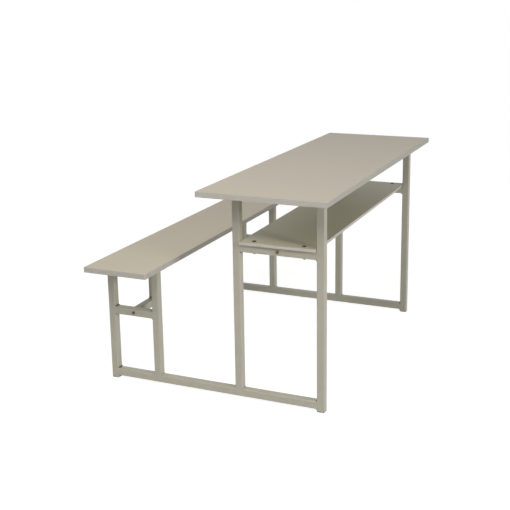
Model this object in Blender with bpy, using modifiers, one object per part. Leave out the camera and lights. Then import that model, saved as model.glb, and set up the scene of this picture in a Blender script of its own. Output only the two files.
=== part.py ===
"""School desk with a joined bench.

Two welded end frames of square steel tube each carry one end of the desk and of the bench. A stretcher under
the book shelf and a bracket under the seat are bolted between them and tie the frames together. The desktop,
the shelf and the seat are laminated boards with edge bands.

Everything is in metres. X runs along the desk, -Y is the far side of the desktop, +Y is the back of the
bench, +Z is up, and the origin is on the floor under the middle of the whole piece.
"""

import math

import bmesh
import bpy
from mathutils import Matrix

# Length of the desktop and of the seat, and how far their ends stand out past the end frames
BOARD_LENGTH = 1.200
BOARD_END_OVERHANG = 0.104

# Desktop board
DESK_HEIGHT = 0.690
DESKTOP_DEPTH = 0.415
DESKTOP_THICKNESS = 0.017
DESKTOP_FRONT_OVERHANG = 0.045

# Seat board
SEAT_HEIGHT = 0.413
SEAT_DEPTH = 0.225
SEAT_THICKNESS = 0.017

# Book shelf, which passes between the desk legs with a small clearance on each side
SHELF_THICKNESS = 0.009
SHELF_END_OVERHANG = 0.009
SHELF_SIDE_CLEARANCE = 0.001

# Edge bands round the three boards, with the rounding that the trimming leaves on their rims
EDGE_BAND_THICKNESS = 0.001
EDGE_BAND_RIM_RADIUS = 0.0007
BOARD_CORNER_RADIUS = 0.003

# End frames: spans are over the outer faces of the tubes, heights are to the undersides of the rails
DESK_LEG_SPAN = 0.300
BENCH_LEG_SPAN = 0.189
KNEE_GAP = 0.269
BASE_RAIL_HEIGHT = 0.009
BENCH_RAIL_HEIGHT = 0.227
SHELF_RAIL_HEIGHT = 0.486

# Square tube that the whole frame is made of
TUBE_WIDTH = 0.025
TUBE_WALL = 0.0012
TUBE_CORNER_RADIUS = 0.003

# Seat bracket: how far its posts stand in from the end frames
POST_SETBACK = 0.096

# Plastic foot glides, and steel inserts with a thread for the frame bolts
GLIDE_THICKNESS = 0.003
GLIDE_STEM_LENGTH = 0.015
INSERT_LENGTH = 0.018

# Bolts that join the stretcher and the bracket to the end frames
FRAME_BOLT_DIAMETER = 0.006
FRAME_BOLT_HEAD_DIAMETER = 0.0105
FRAME_BOLT_HEAD_HEIGHT = 0.0035
FRAME_BOLT_SOCKET_WIDTH = 0.004
FRAME_BOLT_SOCKET_DEPTH = 0.002

# Bolts and nuts that hold the shelf on its rails
SHELF_BOLT_DIAMETER = 0.005
SHELF_BOLT_HEAD_DIAMETER = 0.013
SHELF_BOLT_HEAD_HEIGHT = 0.003
SHELF_BOLT_SLOT_WIDTH = 0.0012
SHELF_BOLT_SLOT_DEPTH = 0.001
SHELF_BOLT_SPACING = 0.163
SHELF_BOLT_TAIL = 0.001
SHELF_NUT_WIDTH = 0.008
SHELF_NUT_HEIGHT = 0.004

# Screws that hold the desktop and the seat from below
SCREW_DIAMETER = 0.004
SCREW_HEAD_DIAMETER = 0.008
SCREW_HEAD_HEIGHT = 0.0025
SCREW_BITE = 0.011
SCREW_TIP_CLEARANCE = 0.001
DESKTOP_SCREW_SPACING = 0.160
SEAT_SCREW_SPACING = 0.080
STRETCHER_SCREW_SPACING = 0.250

# Clearances: between pieces that touch, and how far a cut runs past what it cuts
FIT_GAP = 0.0003
CUT_OVERRUN = 0.002

# Counts and angles
TUBE_CORNER_SEGMENTS = 5
BOARD_CORNER_SEGMENTS = 6
EDGE_BAND_RIM_SEGMENTS = 2
HEAD_SEGMENTS = 20
SCREW_SEGMENTS = 12
HOLE_SEGMENTS = 12
HEX_SIDES = 6
QUARTER_TURN = math.pi / 2
ORIGIN = (0.0, 0.0, 0.0)
UP = (0.0, 0.0, 1.0)
UPRIGHT = (0.0, 0.0, 0.0)
ALONG_X = (0.0, QUARTER_TURN, 0.0)
ALONG_Y = (QUARTER_TURN, 0.0, 0.0)
SMOOTH_ANGLE = math.radians(40)
NUT_CHAMFER_ANGLE = math.radians(30)
SIDES = (("left", -1), ("right", 1))
ROWS = (("front", -1), ("back", 1))
HEAD_UP = Matrix.Identity(4)
HEAD_DOWN = Matrix.Rotation(math.pi, 4, "X")

# Shares of a screw head's radius and height that give its rounded outline, from the rim up to the crown
HEAD_DOME_SHARES = ((1.0, 0.4), (0.94, 0.66), (0.8, 0.85), (0.58, 0.97), (0.36, 1.0))

# Share of a nut's width across flats that stays flat inside its chamfer
NUT_FACE_SHARE = 0.95

# Share that makes a rounded edge a quarter of a circle
ROUND_PROFILE_SHARE = 0.5

# Finishes: base colour, roughness and metallic value
FINISHES = {
    "frame_enamel": ((0.38, 0.36, 0.29), 0.45, 0.0),
    "desktop_laminate": ((0.46, 0.41, 0.33), 0.5, 0.0),
    "seat_laminate": ((0.44, 0.40, 0.31), 0.5, 0.0),
    "shelf_laminate": ((0.36, 0.33, 0.26), 0.55, 0.0),
    "edge_band": ((0.50, 0.47, 0.40), 0.4, 0.0),
    "grey_plastic": ((0.30, 0.29, 0.25), 0.5, 0.0),
    "zinc_plate": ((0.42, 0.30, 0.16), 0.4, 1.0),
}

# Places across the depth, from the far edge of the desktop to the back edge of the seat
SEAT_OVERHANG = (SEAT_DEPTH - BENCH_LEG_SPAN) / 2
OVERALL_DEPTH = DESKTOP_FRONT_OVERHANG + DESK_LEG_SPAN + KNEE_GAP + BENCH_LEG_SPAN + SEAT_OVERHANG
DESKTOP_FRONT_Y = -OVERALL_DEPTH / 2
DESK_FRONT_LEG_Y = DESKTOP_FRONT_Y + DESKTOP_FRONT_OVERHANG + TUBE_WIDTH / 2
DESK_BACK_LEG_Y = DESK_FRONT_LEG_Y + DESK_LEG_SPAN - TUBE_WIDTH
BENCH_FRONT_LEG_Y = DESK_BACK_LEG_Y + TUBE_WIDTH + KNEE_GAP
BENCH_BACK_LEG_Y = BENCH_FRONT_LEG_Y + BENCH_LEG_SPAN - TUBE_WIDTH
DESKTOP_Y = DESKTOP_FRONT_Y + DESKTOP_DEPTH / 2
DESK_FRAME_Y = (DESK_FRONT_LEG_Y + DESK_BACK_LEG_Y) / 2
BENCH_Y = (BENCH_FRONT_LEG_Y + BENCH_BACK_LEG_Y) / 2

# Places along the length, for the right-hand side
FRAME_OUTER_X = BOARD_LENGTH / 2 - BOARD_END_OVERHANG
FRAME_INNER_X = FRAME_OUTER_X - TUBE_WIDTH
FRAME_X = FRAME_OUTER_X - TUBE_WIDTH / 2
POST_OUTER_X = FRAME_INNER_X - POST_SETBACK
POST_X = POST_OUTER_X - TUBE_WIDTH / 2
POST_INNER_X = POST_OUTER_X - TUBE_WIDTH

# Heights
DESK_LEG_TOP = DESK_HEIGHT - DESKTOP_THICKNESS - FIT_GAP
BENCH_LEG_TOP = SEAT_HEIGHT - SEAT_THICKNESS - FIT_GAP
LEG_FOOT = GLIDE_THICKNESS + FIT_GAP
INNER_LEG_FOOT = BASE_RAIL_HEIGHT + TUBE_WIDTH + FIT_GAP
DESKTOP_RAIL_HEIGHT = DESK_LEG_TOP - TUBE_WIDTH
SEAT_RAIL_HEIGHT = BENCH_LEG_TOP - TUBE_WIDTH
SHELF_RAIL_MIDDLE = SHELF_RAIL_HEIGHT + TUBE_WIDTH / 2
SHELF_TOP = SHELF_RAIL_HEIGHT + TUBE_WIDTH + FIT_GAP + SHELF_THICKNESS
SHELF_BOLT_SEAT = SHELF_TOP + FIT_GAP
SHELF_NUT_TOP = SHELF_RAIL_HEIGHT - FIT_GAP

# Size of what slides into the tube
PLUG_WIDTH = TUBE_WIDTH - TUBE_WALL * 2 - FIT_GAP * 2
PLUG_CORNER_RADIUS = TUBE_CORNER_RADIUS - TUBE_WALL


def clear_scene():
    """Removes every object of the opened file, so that only the desk is left."""
    for scene_object in list(bpy.data.objects):
        bpy.data.objects.remove(scene_object, do_unlink=True)


def new_collection(name):
    """Adds a collection to the scene."""
    collection = bpy.data.collections.new(name)
    bpy.context.scene.collection.children.link(collection)
    return collection


def new_empty(collection, name, location):
    """Adds an empty that carries the pieces of one sub-assembly."""
    empty = bpy.data.objects.new(name, None)
    empty.location = location
    collection.objects.link(empty)
    return empty


def give_finish(mesh, finish):
    """Gives a mesh its own material with the named finish."""
    colour, roughness, metallic = FINISHES[finish]
    material = bpy.data.materials.new(mesh.name + "_" + finish)
    material.use_nodes = True
    shader = material.node_tree.nodes["Principled BSDF"]
    shader.inputs["Base Color"].default_value = (*colour, 1.0)
    shader.inputs["Roughness"].default_value = roughness
    shader.inputs["Metallic"].default_value = metallic
    mesh.materials.append(material)


def new_piece(collection, name, mesh, location, rotation=UPRIGHT, parent=None):
    """Adds one sub-part from its mesh."""
    mesh.name = name
    mesh.shade_smooth()
    mesh.set_sharp_from_angle(angle=SMOOTH_ANGLE)
    piece = bpy.data.objects.new(name, mesh)
    piece.location = location
    piece.rotation_euler = rotation
    piece.parent = parent
    collection.objects.link(piece)
    return piece


def mesh_from(shape):
    """Closes a bmesh into a mesh."""
    bmesh.ops.recalc_face_normals(shape, faces=shape.faces)
    mesh = bpy.data.meshes.new("shape")
    shape.to_mesh(mesh)
    shape.free()
    return mesh


def rounded_bar(width, depth, length, corner_radius, segments, open_ends=False):
    """Returns a bar along Z with four rounded edges, as a bmesh."""
    bar = bmesh.new()
    bmesh.ops.create_cube(bar, size=1)
    bmesh.ops.scale(bar, vec=(width, depth, length), verts=bar.verts)
    if open_ends:
        ends = [face for face in bar.faces if len({corner.co.z for corner in face.verts}) == 1]
        bmesh.ops.delete(bar, geom=ends, context="FACES_ONLY")
    corners = [edge for edge in bar.edges if edge.verts[0].co.z * edge.verts[1].co.z < 0]
    bmesh.ops.bevel(
        bar,
        geom=corners,
        offset=corner_radius,
        segments=segments,
        profile=ROUND_PROFILE_SHARE,
        affect="EDGES",
    )
    return bar


def hollow_out(piece, wall):
    """Gives an open surface its wall, inwards."""
    shell = piece.modifiers.new("wall", "SOLIDIFY")
    shell.thickness = wall
    shell.offset = -1
    shell.use_even_offset = True


def drill(piece, cutter, operation="DIFFERENCE"):
    """Cuts the holes of a cutter out of a piece, or keeps what lies inside it."""
    cut = piece.modifiers.new(cutter.name, "BOOLEAN")
    cut.operation = operation
    cut.solver = "EXACT"
    cut.object = cutter


def square_tube(collection, name, length, location, rotation, parent=None):
    """Adds a length of square tube, open at both ends, centred on its location."""
    surface = rounded_bar(
        TUBE_WIDTH, TUBE_WIDTH, length, TUBE_CORNER_RADIUS, TUBE_CORNER_SEGMENTS, open_ends=True
    )
    tube = new_piece(collection, name, mesh_from(surface), location, rotation, parent)
    hollow_out(tube, TUBE_WALL)
    give_finish(tube.data, "frame_enamel")
    return tube


def upright_tube(collection, name, foot, top, across, parent=None):
    """Adds a vertical tube of an end frame or the seat bracket between two heights."""
    location = (across[0], across[1], (foot + top) / 2)
    return square_tube(collection, name, top - foot, location, UPRIGHT, parent)


def inset_bar(length, depth, thickness, inset):
    """Returns the inside of a board that stands in from the board's outline, as a bmesh."""
    return rounded_bar(
        length - inset * 2, depth - inset * 2, thickness, BOARD_CORNER_RADIUS - inset, BOARD_CORNER_SEGMENTS
    )


def edge_band(collection, name, size, location, opening):
    """Adds the edge band round a board. Its rims are rounded, and the opening leaves room for the board."""
    length, depth, thickness = size
    outline = rounded_bar(length, depth, thickness, BOARD_CORNER_RADIUS, BOARD_CORNER_SEGMENTS)
    rims = [edge for edge in outline.edges if edge.verts[0].co.z * edge.verts[1].co.z > 0]
    bmesh.ops.bevel(
        outline,
        geom=rims,
        offset=EDGE_BAND_RIM_RADIUS,
        segments=EDGE_BAND_RIM_SEGMENTS,
        profile=ROUND_PROFILE_SHARE,
        affect="EDGES",
    )
    band = new_piece(collection, name + "_edge_band", mesh_from(outline), location)
    drill(band, opening)
    give_finish(band.data, "edge_band")


def board_core(collection, name, size, location, holes):
    """Adds a laminated board inside its edge band, with the holes for what holds it."""
    core = inset_bar(*size, EDGE_BAND_THICKNESS + FIT_GAP)
    panel = new_piece(collection, name + "_board", mesh_from(core), location)
    drill(panel, holes)
    give_finish(panel.data, name + "_laminate")


def glide_mesh():
    """Returns a foot glide: a square foot below Z 0 and a stem above it that slides into the tube."""
    glide = rounded_bar(TUBE_WIDTH, TUBE_WIDTH, GLIDE_THICKNESS, TUBE_CORNER_RADIUS, TUBE_CORNER_SEGMENTS)
    bmesh.ops.translate(glide, vec=(0.0, 0.0, -GLIDE_THICKNESS / 2), verts=glide.verts)
    seat = max(glide.faces, key=lambda face: face.calc_center_median().z)
    bmesh.ops.inset_individual(glide, faces=[seat], thickness=(TUBE_WIDTH - PLUG_WIDTH) / 2)
    stem = bmesh.ops.extrude_discrete_faces(glide, faces=[seat])["faces"][0]
    bmesh.ops.translate(glide, vec=(0.0, 0.0, GLIDE_STEM_LENGTH), verts=stem.verts)
    return mesh_from(glide)


def turned_mesh(profile, segments):
    """Returns a solid turned round Z from its profile, the (radius, height) pairs from top to bottom."""
    solid = bmesh.new()
    points = [solid.verts.new((radius, 0.0, height)) for radius, height in profile]
    outline = points + [solid.edges.new(pair) for pair in zip(points, points[1:])]
    bmesh.ops.spin(solid, geom=outline, axis=UP, cent=ORIGIN, angle=math.tau, steps=segments)
    bmesh.ops.remove_doubles(solid, verts=solid.verts, dist=FIT_GAP / segments)
    return mesh_from(solid)


def prism_mesh(diameter, length, sides):
    """Returns a prism or cylinder along Z, centred on the origin."""
    prism = bmesh.new()
    bmesh.ops.create_cone(
        prism, cap_ends=True, segments=sides, radius1=diameter / 2, radius2=diameter / 2, depth=length
    )
    return mesh_from(prism)


def hexagon_mesh(width_across_flats, length):
    """Returns a hexagonal prism along Z, centred on the origin."""
    return prism_mesh(width_across_flats / math.cos(math.pi / HEX_SIDES), length, HEX_SIDES)


def headed_mesh(head_diameter, head_height, shank_diameter, shank_length, segments):
    """Returns a screw with its head's seat at Z 0, the domed head above it and the shank below."""
    dome = [(head_diameter / 2 * reach, head_height * rise) for reach, rise in HEAD_DOME_SHARES]
    crown = [(0.0, head_height)] + dome[::-1]
    shank = [(head_diameter / 2, 0.0), (shank_diameter / 2, 0.0), (shank_diameter / 2, -shank_length)]
    return turned_mesh(crown + shank + [(0.0, -shank_length)], segments)


def frame_bolt_places(outward):
    """Lists the bolts of the shelf and bench rails by name, a distance out from the rails' outer faces."""
    places = []
    for side, direction in SIDES:
        facing = Matrix.Rotation(QUARTER_TURN * direction, 4, "Y")
        for rail, across, height in (
            ("shelf_rail", DESK_FRAME_Y, SHELF_RAIL_HEIGHT),
            ("bench_rail", BENCH_Y, BENCH_RAIL_HEIGHT),
        ):
            location = (direction * (FRAME_OUTER_X + outward), across, height + TUBE_WIDTH / 2)
            places.append((side + "_" + rail, Matrix.Translation(location) @ facing))
    return places


def rail_places(across, spacing, height, turn):
    """Lists the two places in a rail of each end frame by name, spread about the rail's middle."""
    places = []
    for side, direction in SIDES:
        for row, step in ROWS:
            location = (direction * FRAME_X, across + step * spacing / 2, height)
            places.append((side + "_" + row, Matrix.Translation(location) @ turn))
    return places


def stretcher_screw_places(height):
    """Lists the places of the screws in the seat stretcher by name."""
    reach = STRETCHER_SCREW_SPACING / 2
    return [
        (side + "_middle", Matrix.Translation((direction * reach, BENCH_Y, height)) @ HEAD_DOWN)
        for side, direction in SIDES
    ]


def desktop_screw_places(height):
    """Lists the places of the desktop's screws at one height by name."""
    return rail_places(DESK_FRAME_Y, DESKTOP_SCREW_SPACING, height, HEAD_DOWN)


def seat_screw_places(height):
    """Lists the places of the seat's screws at one height by name."""
    return rail_places(BENCH_Y, SEAT_SCREW_SPACING, height, HEAD_DOWN) + stretcher_screw_places(height)


def shelf_bolt_places(height):
    """Lists the places of the shelf's bolts at one height by name."""
    return rail_places(DESK_FRAME_Y, SHELF_BOLT_SPACING, height, HEAD_UP)


def board_sizes():
    """Lists the three boards by name, with their three sizes and the place of their middle."""
    shelf_length = (FRAME_OUTER_X + SHELF_END_OVERHANG) * 2
    shelf_depth = DESK_LEG_SPAN - TUBE_WIDTH * 2 - SHELF_SIDE_CLEARANCE * 2
    boards = (
        ("desktop", BOARD_LENGTH, DESKTOP_DEPTH, DESKTOP_THICKNESS, DESKTOP_Y, DESK_HEIGHT),
        ("seat", BOARD_LENGTH, SEAT_DEPTH, SEAT_THICKNESS, BENCH_Y, SEAT_HEIGHT),
        ("shelf", shelf_length, shelf_depth, SHELF_THICKNESS, DESK_FRAME_Y, SHELF_TOP),
    )
    return [
        (name, (length, depth, thickness), (0.0, across, top - thickness / 2))
        for name, length, depth, thickness, across, top in boards
    ]


def new_cutter(collection, name, mesh, places):
    """Adds a guide object that cuts a group of like holes."""
    group = bmesh.new()
    for hole, place in places:
        first = len(group.verts)
        group.from_mesh(mesh)
        group.verts.ensure_lookup_table()
        bmesh.ops.transform(group, matrix=place, verts=group.verts[first:])
    cutter = bpy.data.objects.new(name, mesh_from(group))
    cutter.display_type = "WIRE"
    cutter.hide_render = True
    collection.objects.link(cutter)
    return cutter


def new_copies(collection, kind, finish, mesh, places, cutter=None):
    """Adds a fastener at each place. The copies share one mesh, and the cutter cuts each of them."""
    copies = []
    for name, place in places:
        copy = new_piece(collection, name + "_" + kind, mesh, place.to_translation(), place.to_euler())
        if cutter:
            drill(copy, cutter)
        copies.append(copy)
    mesh.name = kind
    give_finish(mesh, finish)
    return copies


def make_bolt_cutters(collection):
    """Adds the cutters for the frame bolts and the shelf bolts, and for the drives in their heads."""
    bolt_width = FRAME_BOLT_DIAMETER + FIT_GAP * 2
    bolt_run = (TUBE_WIDTH + INSERT_LENGTH + CUT_OVERRUN) * 2
    bolt_hole = prism_mesh(bolt_width, bolt_run, HOLE_SEGMENTS)
    socket = hexagon_mesh(FRAME_BOLT_SOCKET_WIDTH, FRAME_BOLT_SOCKET_DEPTH * 2)
    shelf_bolt_width = SHELF_BOLT_DIAMETER + FIT_GAP * 2
    shelf_bolt_run = (TUBE_WIDTH + SHELF_THICKNESS + SHELF_NUT_HEIGHT + CUT_OVERRUN) * 2
    shelf_bolt_hole = prism_mesh(shelf_bolt_width, shelf_bolt_run, HOLE_SEGMENTS)
    slot_size = (SHELF_BOLT_HEAD_DIAMETER + CUT_OVERRUN, SHELF_BOLT_SLOT_WIDTH, SHELF_BOLT_SLOT_DEPTH * 2)
    slot = bmesh.new()
    bmesh.ops.create_cube(slot, size=1)
    bmesh.ops.scale(slot, vec=slot_size, verts=slot.verts)
    return {
        "frame_bolts": new_cutter(
            collection, "frame_bolt_holes", bolt_hole, frame_bolt_places(-TUBE_WIDTH / 2)
        ),
        "frame_sockets": new_cutter(
            collection, "frame_bolt_sockets", socket, frame_bolt_places(FIT_GAP + FRAME_BOLT_HEAD_HEIGHT)
        ),
        "shelf_bolts": new_cutter(
            collection, "shelf_bolt_holes", shelf_bolt_hole, shelf_bolt_places(SHELF_RAIL_MIDDLE)
        ),
        "shelf_slots": new_cutter(
            collection,
            "shelf_bolt_slots",
            mesh_from(slot),
            shelf_bolt_places(SHELF_BOLT_SEAT + SHELF_BOLT_HEAD_HEIGHT),
        ),
    }


def make_nut_trimmer(collection):
    """Adds the double cones that the shelf nuts are trimmed to, which chamfer their corners."""
    face_radius = SHELF_NUT_WIDTH / 2 * NUT_FACE_SHARE
    peak = SHELF_NUT_HEIGHT / 2 + face_radius * math.tan(NUT_CHAMFER_ANGLE)
    rim = peak / math.tan(NUT_CHAMFER_ANGLE)
    cones = turned_mesh([(0.0, peak), (rim, 0.0), (0.0, -peak)], HEAD_SEGMENTS)
    places = shelf_bolt_places(SHELF_NUT_TOP - SHELF_NUT_HEIGHT / 2)
    return {"nut_corners": new_cutter(collection, "shelf_nut_corners", cones, places)}


def make_band_cutters(collection):
    """Adds the cutters for the openings of the edge bands."""
    cutters = {}
    for name, (length, depth, thickness), location in board_sizes():
        opening = inset_bar(length, depth, thickness + CUT_OVERRUN, EDGE_BAND_THICKNESS)
        place = Matrix.Translation(location)
        cutters[name + "_band"] = new_cutter(
            collection, name + "_band_opening", mesh_from(opening), [(name, place)]
        )
    return cutters


def make_screw_cutters(collection):
    """Adds the cutters for the screws, which run through a rail and end inside the board above it."""
    run = TUBE_WIDTH + FIT_GAP + SCREW_BITE + SCREW_TIP_CLEARANCE
    hole = prism_mesh(SCREW_DIAMETER + FIT_GAP * 2, run + CUT_OVERRUN, HOLE_SEGMENTS)
    middle = (run - CUT_OVERRUN) / 2
    return {
        "desktop_screws": new_cutter(
            collection, "desktop_screw_holes", hole, desktop_screw_places(DESKTOP_RAIL_HEIGHT + middle)
        ),
        "seat_screws": new_cutter(
            collection, "seat_screw_holes", hole, seat_screw_places(SEAT_RAIL_HEIGHT + middle)
        ),
    }


def make_boards(collection, cutters):
    """Adds the desktop, the seat and the book shelf, each inside its edge band."""
    holes = {"desktop": "desktop_screws", "seat": "seat_screws", "shelf": "shelf_bolts"}
    for name, size, location in board_sizes():
        edge_band(collection, name, size, location, cutters[name + "_band"])
        board_core(collection, name, size, location, cutters[holes[name]])


def make_legs(collection, side, frame):
    """Adds the legs of one end frame. The outer two reach the floor, the inner two stand on the base rail."""
    legs = (
        ("desk_front_leg", DESK_FRONT_LEG_Y, LEG_FOOT, DESK_LEG_TOP),
        ("desk_back_leg", DESK_BACK_LEG_Y, INNER_LEG_FOOT, DESK_LEG_TOP),
        ("bench_front_leg", BENCH_FRONT_LEG_Y, INNER_LEG_FOOT, BENCH_LEG_TOP),
        ("bench_back_leg", BENCH_BACK_LEG_Y, LEG_FOOT, BENCH_LEG_TOP),
    )
    for name, across, foot, top in legs:
        upright_tube(collection, side + "_" + name, foot, top, (0.0, across), frame)


def make_rails(collection, side, frame, cutters):
    """Adds the five rails of one end frame, each welded between two legs."""
    rails = (
        ("base_rail", DESK_FRONT_LEG_Y, BENCH_BACK_LEG_Y, BASE_RAIL_HEIGHT, ()),
        ("shelf_rail", DESK_FRONT_LEG_Y, DESK_BACK_LEG_Y, SHELF_RAIL_HEIGHT, ("frame_bolts", "shelf_bolts")),
        ("desktop_rail", DESK_FRONT_LEG_Y, DESK_BACK_LEG_Y, DESKTOP_RAIL_HEIGHT, ("desktop_screws",)),
        ("bench_rail", BENCH_FRONT_LEG_Y, BENCH_BACK_LEG_Y, BENCH_RAIL_HEIGHT, ("frame_bolts",)),
        ("seat_rail", BENCH_FRONT_LEG_Y, BENCH_BACK_LEG_Y, SEAT_RAIL_HEIGHT, ("seat_screws",)),
    )
    for name, start, end, underside, holes in rails:
        length = end - start - TUBE_WIDTH - FIT_GAP * 2
        location = (0.0, (start + end) / 2, underside + TUBE_WIDTH / 2)
        rail = square_tube(collection, side + "_" + name, length, location, ALONG_Y, frame)
        for hole in holes:
            drill(rail, cutters[hole])


def make_glides(collection, side, frame):
    """Adds the plastic glides in the feet of one end frame's outer legs."""
    for name, across in (("desk", DESK_FRONT_LEG_Y), ("bench", BENCH_BACK_LEG_Y)):
        location = (0.0, across, GLIDE_THICKNESS)
        glide = new_piece(collection, side + "_" + name + "_foot_glide", glide_mesh(), location, parent=frame)
        give_finish(glide.data, "grey_plastic")


def make_end_frame(collection, side, direction, cutters):
    """Adds one end frame with its legs, rails and foot glides."""
    frame = new_empty(collection, side + "_end_frame", (direction * FRAME_X, 0.0, 0.0))
    make_legs(collection, side, frame)
    make_rails(collection, side, frame, cutters)
    make_glides(collection, side, frame)


def make_insert(collection, name, direction, across, underside, cutters):
    """Adds the threaded insert in the end of a tube that is bolted to an end frame."""
    block = rounded_bar(PLUG_WIDTH, PLUG_WIDTH, INSERT_LENGTH, PLUG_CORNER_RADIUS, TUBE_CORNER_SEGMENTS)
    along = direction * (FRAME_INNER_X - FIT_GAP - INSERT_LENGTH / 2)
    location = (along, across, underside + TUBE_WIDTH / 2)
    insert = new_piece(collection, name, mesh_from(block), location, ALONG_X)
    drill(insert, cutters["frame_bolts"])
    give_finish(insert.data, "zinc_plate")


def make_shelf_stretcher(collection, cutters):
    """Adds the stretcher under the shelf, bolted between the shelf rails."""
    length = (FRAME_INNER_X - FIT_GAP) * 2
    location = (0.0, DESK_FRAME_Y, SHELF_RAIL_MIDDLE)
    square_tube(collection, "shelf_stretcher", length, location, ALONG_X)
    for side, direction in SIDES:
        make_insert(
            collection, side + "_stretcher_insert", direction, DESK_FRAME_Y, SHELF_RAIL_HEIGHT, cutters
        )


def make_seat_bracket(collection, cutters):
    """Adds the tube under the seat, its posts, and the arms that bolt it to the bench rails."""
    stretcher_location = (0.0, BENCH_Y, SEAT_RAIL_HEIGHT + TUBE_WIDTH / 2)
    stretcher = square_tube(collection, "seat_stretcher", POST_OUTER_X * 2, stretcher_location, ALONG_X)
    drill(stretcher, cutters["seat_screws"])
    arm_length = FRAME_INNER_X - FIT_GAP - POST_INNER_X
    arm_height = BENCH_RAIL_HEIGHT + TUBE_WIDTH / 2
    post_foot = BENCH_RAIL_HEIGHT + TUBE_WIDTH + FIT_GAP
    post_top = SEAT_RAIL_HEIGHT - FIT_GAP
    for side, direction in SIDES:
        arm_location = (direction * (POST_INNER_X + arm_length / 2), BENCH_Y, arm_height)
        square_tube(collection, side + "_bracket_arm", arm_length, arm_location, ALONG_X)
        post_across = (direction * POST_X, BENCH_Y)
        upright_tube(collection, side + "_bracket_post", post_foot, post_top, post_across)
        make_insert(collection, side + "_bracket_insert", direction, BENCH_Y, BENCH_RAIL_HEIGHT, cutters)


def make_frame_bolts(collection, cutters):
    """Adds the socket-head bolts that join the stretcher and the bracket to the end frames."""
    grip = FIT_GAP + TUBE_WIDTH + FIT_GAP + INSERT_LENGTH
    bolt = headed_mesh(
        FRAME_BOLT_HEAD_DIAMETER, FRAME_BOLT_HEAD_HEIGHT, FRAME_BOLT_DIAMETER, grip, HEAD_SEGMENTS
    )
    places = frame_bolt_places(FIT_GAP)
    new_copies(collection, "bolt", "zinc_plate", bolt, places, cutters["frame_sockets"])


def make_shelf_fasteners(collection, cutters):
    """Adds the slotted bolts that hold the shelf, and their nuts."""
    grip = SHELF_BOLT_SEAT - SHELF_NUT_TOP + SHELF_NUT_HEIGHT + SHELF_BOLT_TAIL
    bolt = headed_mesh(
        SHELF_BOLT_HEAD_DIAMETER, SHELF_BOLT_HEAD_HEIGHT, SHELF_BOLT_DIAMETER, grip, HEAD_SEGMENTS
    )
    bolt_places = shelf_bolt_places(SHELF_BOLT_SEAT)
    new_copies(collection, "shelf_bolt", "zinc_plate", bolt, bolt_places, cutters["shelf_slots"])
    nut = hexagon_mesh(SHELF_NUT_WIDTH, SHELF_NUT_HEIGHT)
    nut_places = shelf_bolt_places(SHELF_NUT_TOP - SHELF_NUT_HEIGHT / 2)
    nuts = new_copies(collection, "shelf_nut", "zinc_plate", nut, nut_places, cutters["shelf_bolts"])
    for copy in nuts:
        drill(copy, cutters["nut_corners"], "INTERSECT")


def make_board_screws(collection):
    """Adds the screws that hold the desktop and the seat from below."""
    grip = FIT_GAP + TUBE_WIDTH + FIT_GAP + SCREW_BITE
    screw = headed_mesh(SCREW_HEAD_DIAMETER, SCREW_HEAD_HEIGHT, SCREW_DIAMETER, grip, SCREW_SEGMENTS)
    desktop_places = desktop_screw_places(DESKTOP_RAIL_HEIGHT - FIT_GAP)
    new_copies(collection, "desktop_screw", "zinc_plate", screw, desktop_places)
    seat_places = seat_screw_places(SEAT_RAIL_HEIGHT - FIT_GAP)
    new_copies(collection, "seat_screw", "zinc_plate", screw.copy(), seat_places)


def main():
    """Builds the whole desk."""
    clear_scene()
    desk = new_collection("school_desk_and_bench")
    guides = new_collection("cutters")
    cutters = make_bolt_cutters(guides) | make_screw_cutters(guides)
    cutters |= make_nut_trimmer(guides) | make_band_cutters(guides)
    make_boards(desk, cutters)
    for side, direction in SIDES:
        make_end_frame(desk, side, direction, cutters)
    make_shelf_stretcher(desk, cutters)
    make_seat_bracket(desk, cutters)
    make_frame_bolts(desk, cutters)
    make_shelf_fasteners(desk, cutters)
    make_board_screws(desk)


main()
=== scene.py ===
"""School desk with a joined bench: finishes, welds, washers, plugs and stage.

The file is laid out as an add-on. Each operator finishes or makes one group of pieces, and main()
runs them in order. Lengths are in metres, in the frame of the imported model: X runs along the desk,
+Y is the back of the bench and Z is up from the floor.
"""

import math
import random

import bmesh
import bpy
from mathutils import Matrix, Vector


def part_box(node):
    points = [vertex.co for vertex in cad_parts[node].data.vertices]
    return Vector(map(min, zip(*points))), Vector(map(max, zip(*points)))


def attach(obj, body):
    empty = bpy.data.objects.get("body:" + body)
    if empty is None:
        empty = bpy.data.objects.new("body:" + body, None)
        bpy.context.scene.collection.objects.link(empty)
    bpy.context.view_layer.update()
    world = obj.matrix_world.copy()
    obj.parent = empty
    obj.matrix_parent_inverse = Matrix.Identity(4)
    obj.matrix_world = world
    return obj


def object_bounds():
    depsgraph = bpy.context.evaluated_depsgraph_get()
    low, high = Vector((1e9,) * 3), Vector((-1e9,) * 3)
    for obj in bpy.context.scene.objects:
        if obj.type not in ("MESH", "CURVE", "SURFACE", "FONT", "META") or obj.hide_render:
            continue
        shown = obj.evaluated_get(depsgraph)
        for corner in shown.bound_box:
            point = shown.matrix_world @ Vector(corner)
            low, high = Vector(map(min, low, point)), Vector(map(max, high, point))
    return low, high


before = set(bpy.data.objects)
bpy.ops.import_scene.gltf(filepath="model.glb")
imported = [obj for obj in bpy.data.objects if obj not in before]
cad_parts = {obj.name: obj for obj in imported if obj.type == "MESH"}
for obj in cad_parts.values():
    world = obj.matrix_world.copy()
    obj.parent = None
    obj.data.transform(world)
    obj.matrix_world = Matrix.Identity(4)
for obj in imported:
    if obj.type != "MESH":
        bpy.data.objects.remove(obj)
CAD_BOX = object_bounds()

bl_info = {
    "name": "School desk and bench",
    "version": (1, 0, 0),
    "blender": (4, 5, 0),
    "location": "3D View > Sidebar > School desk",
    "description": "Finishes a school desk and bench, adds welds, washers and plugs, sets a stage",
    "category": "Object",
}

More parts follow.
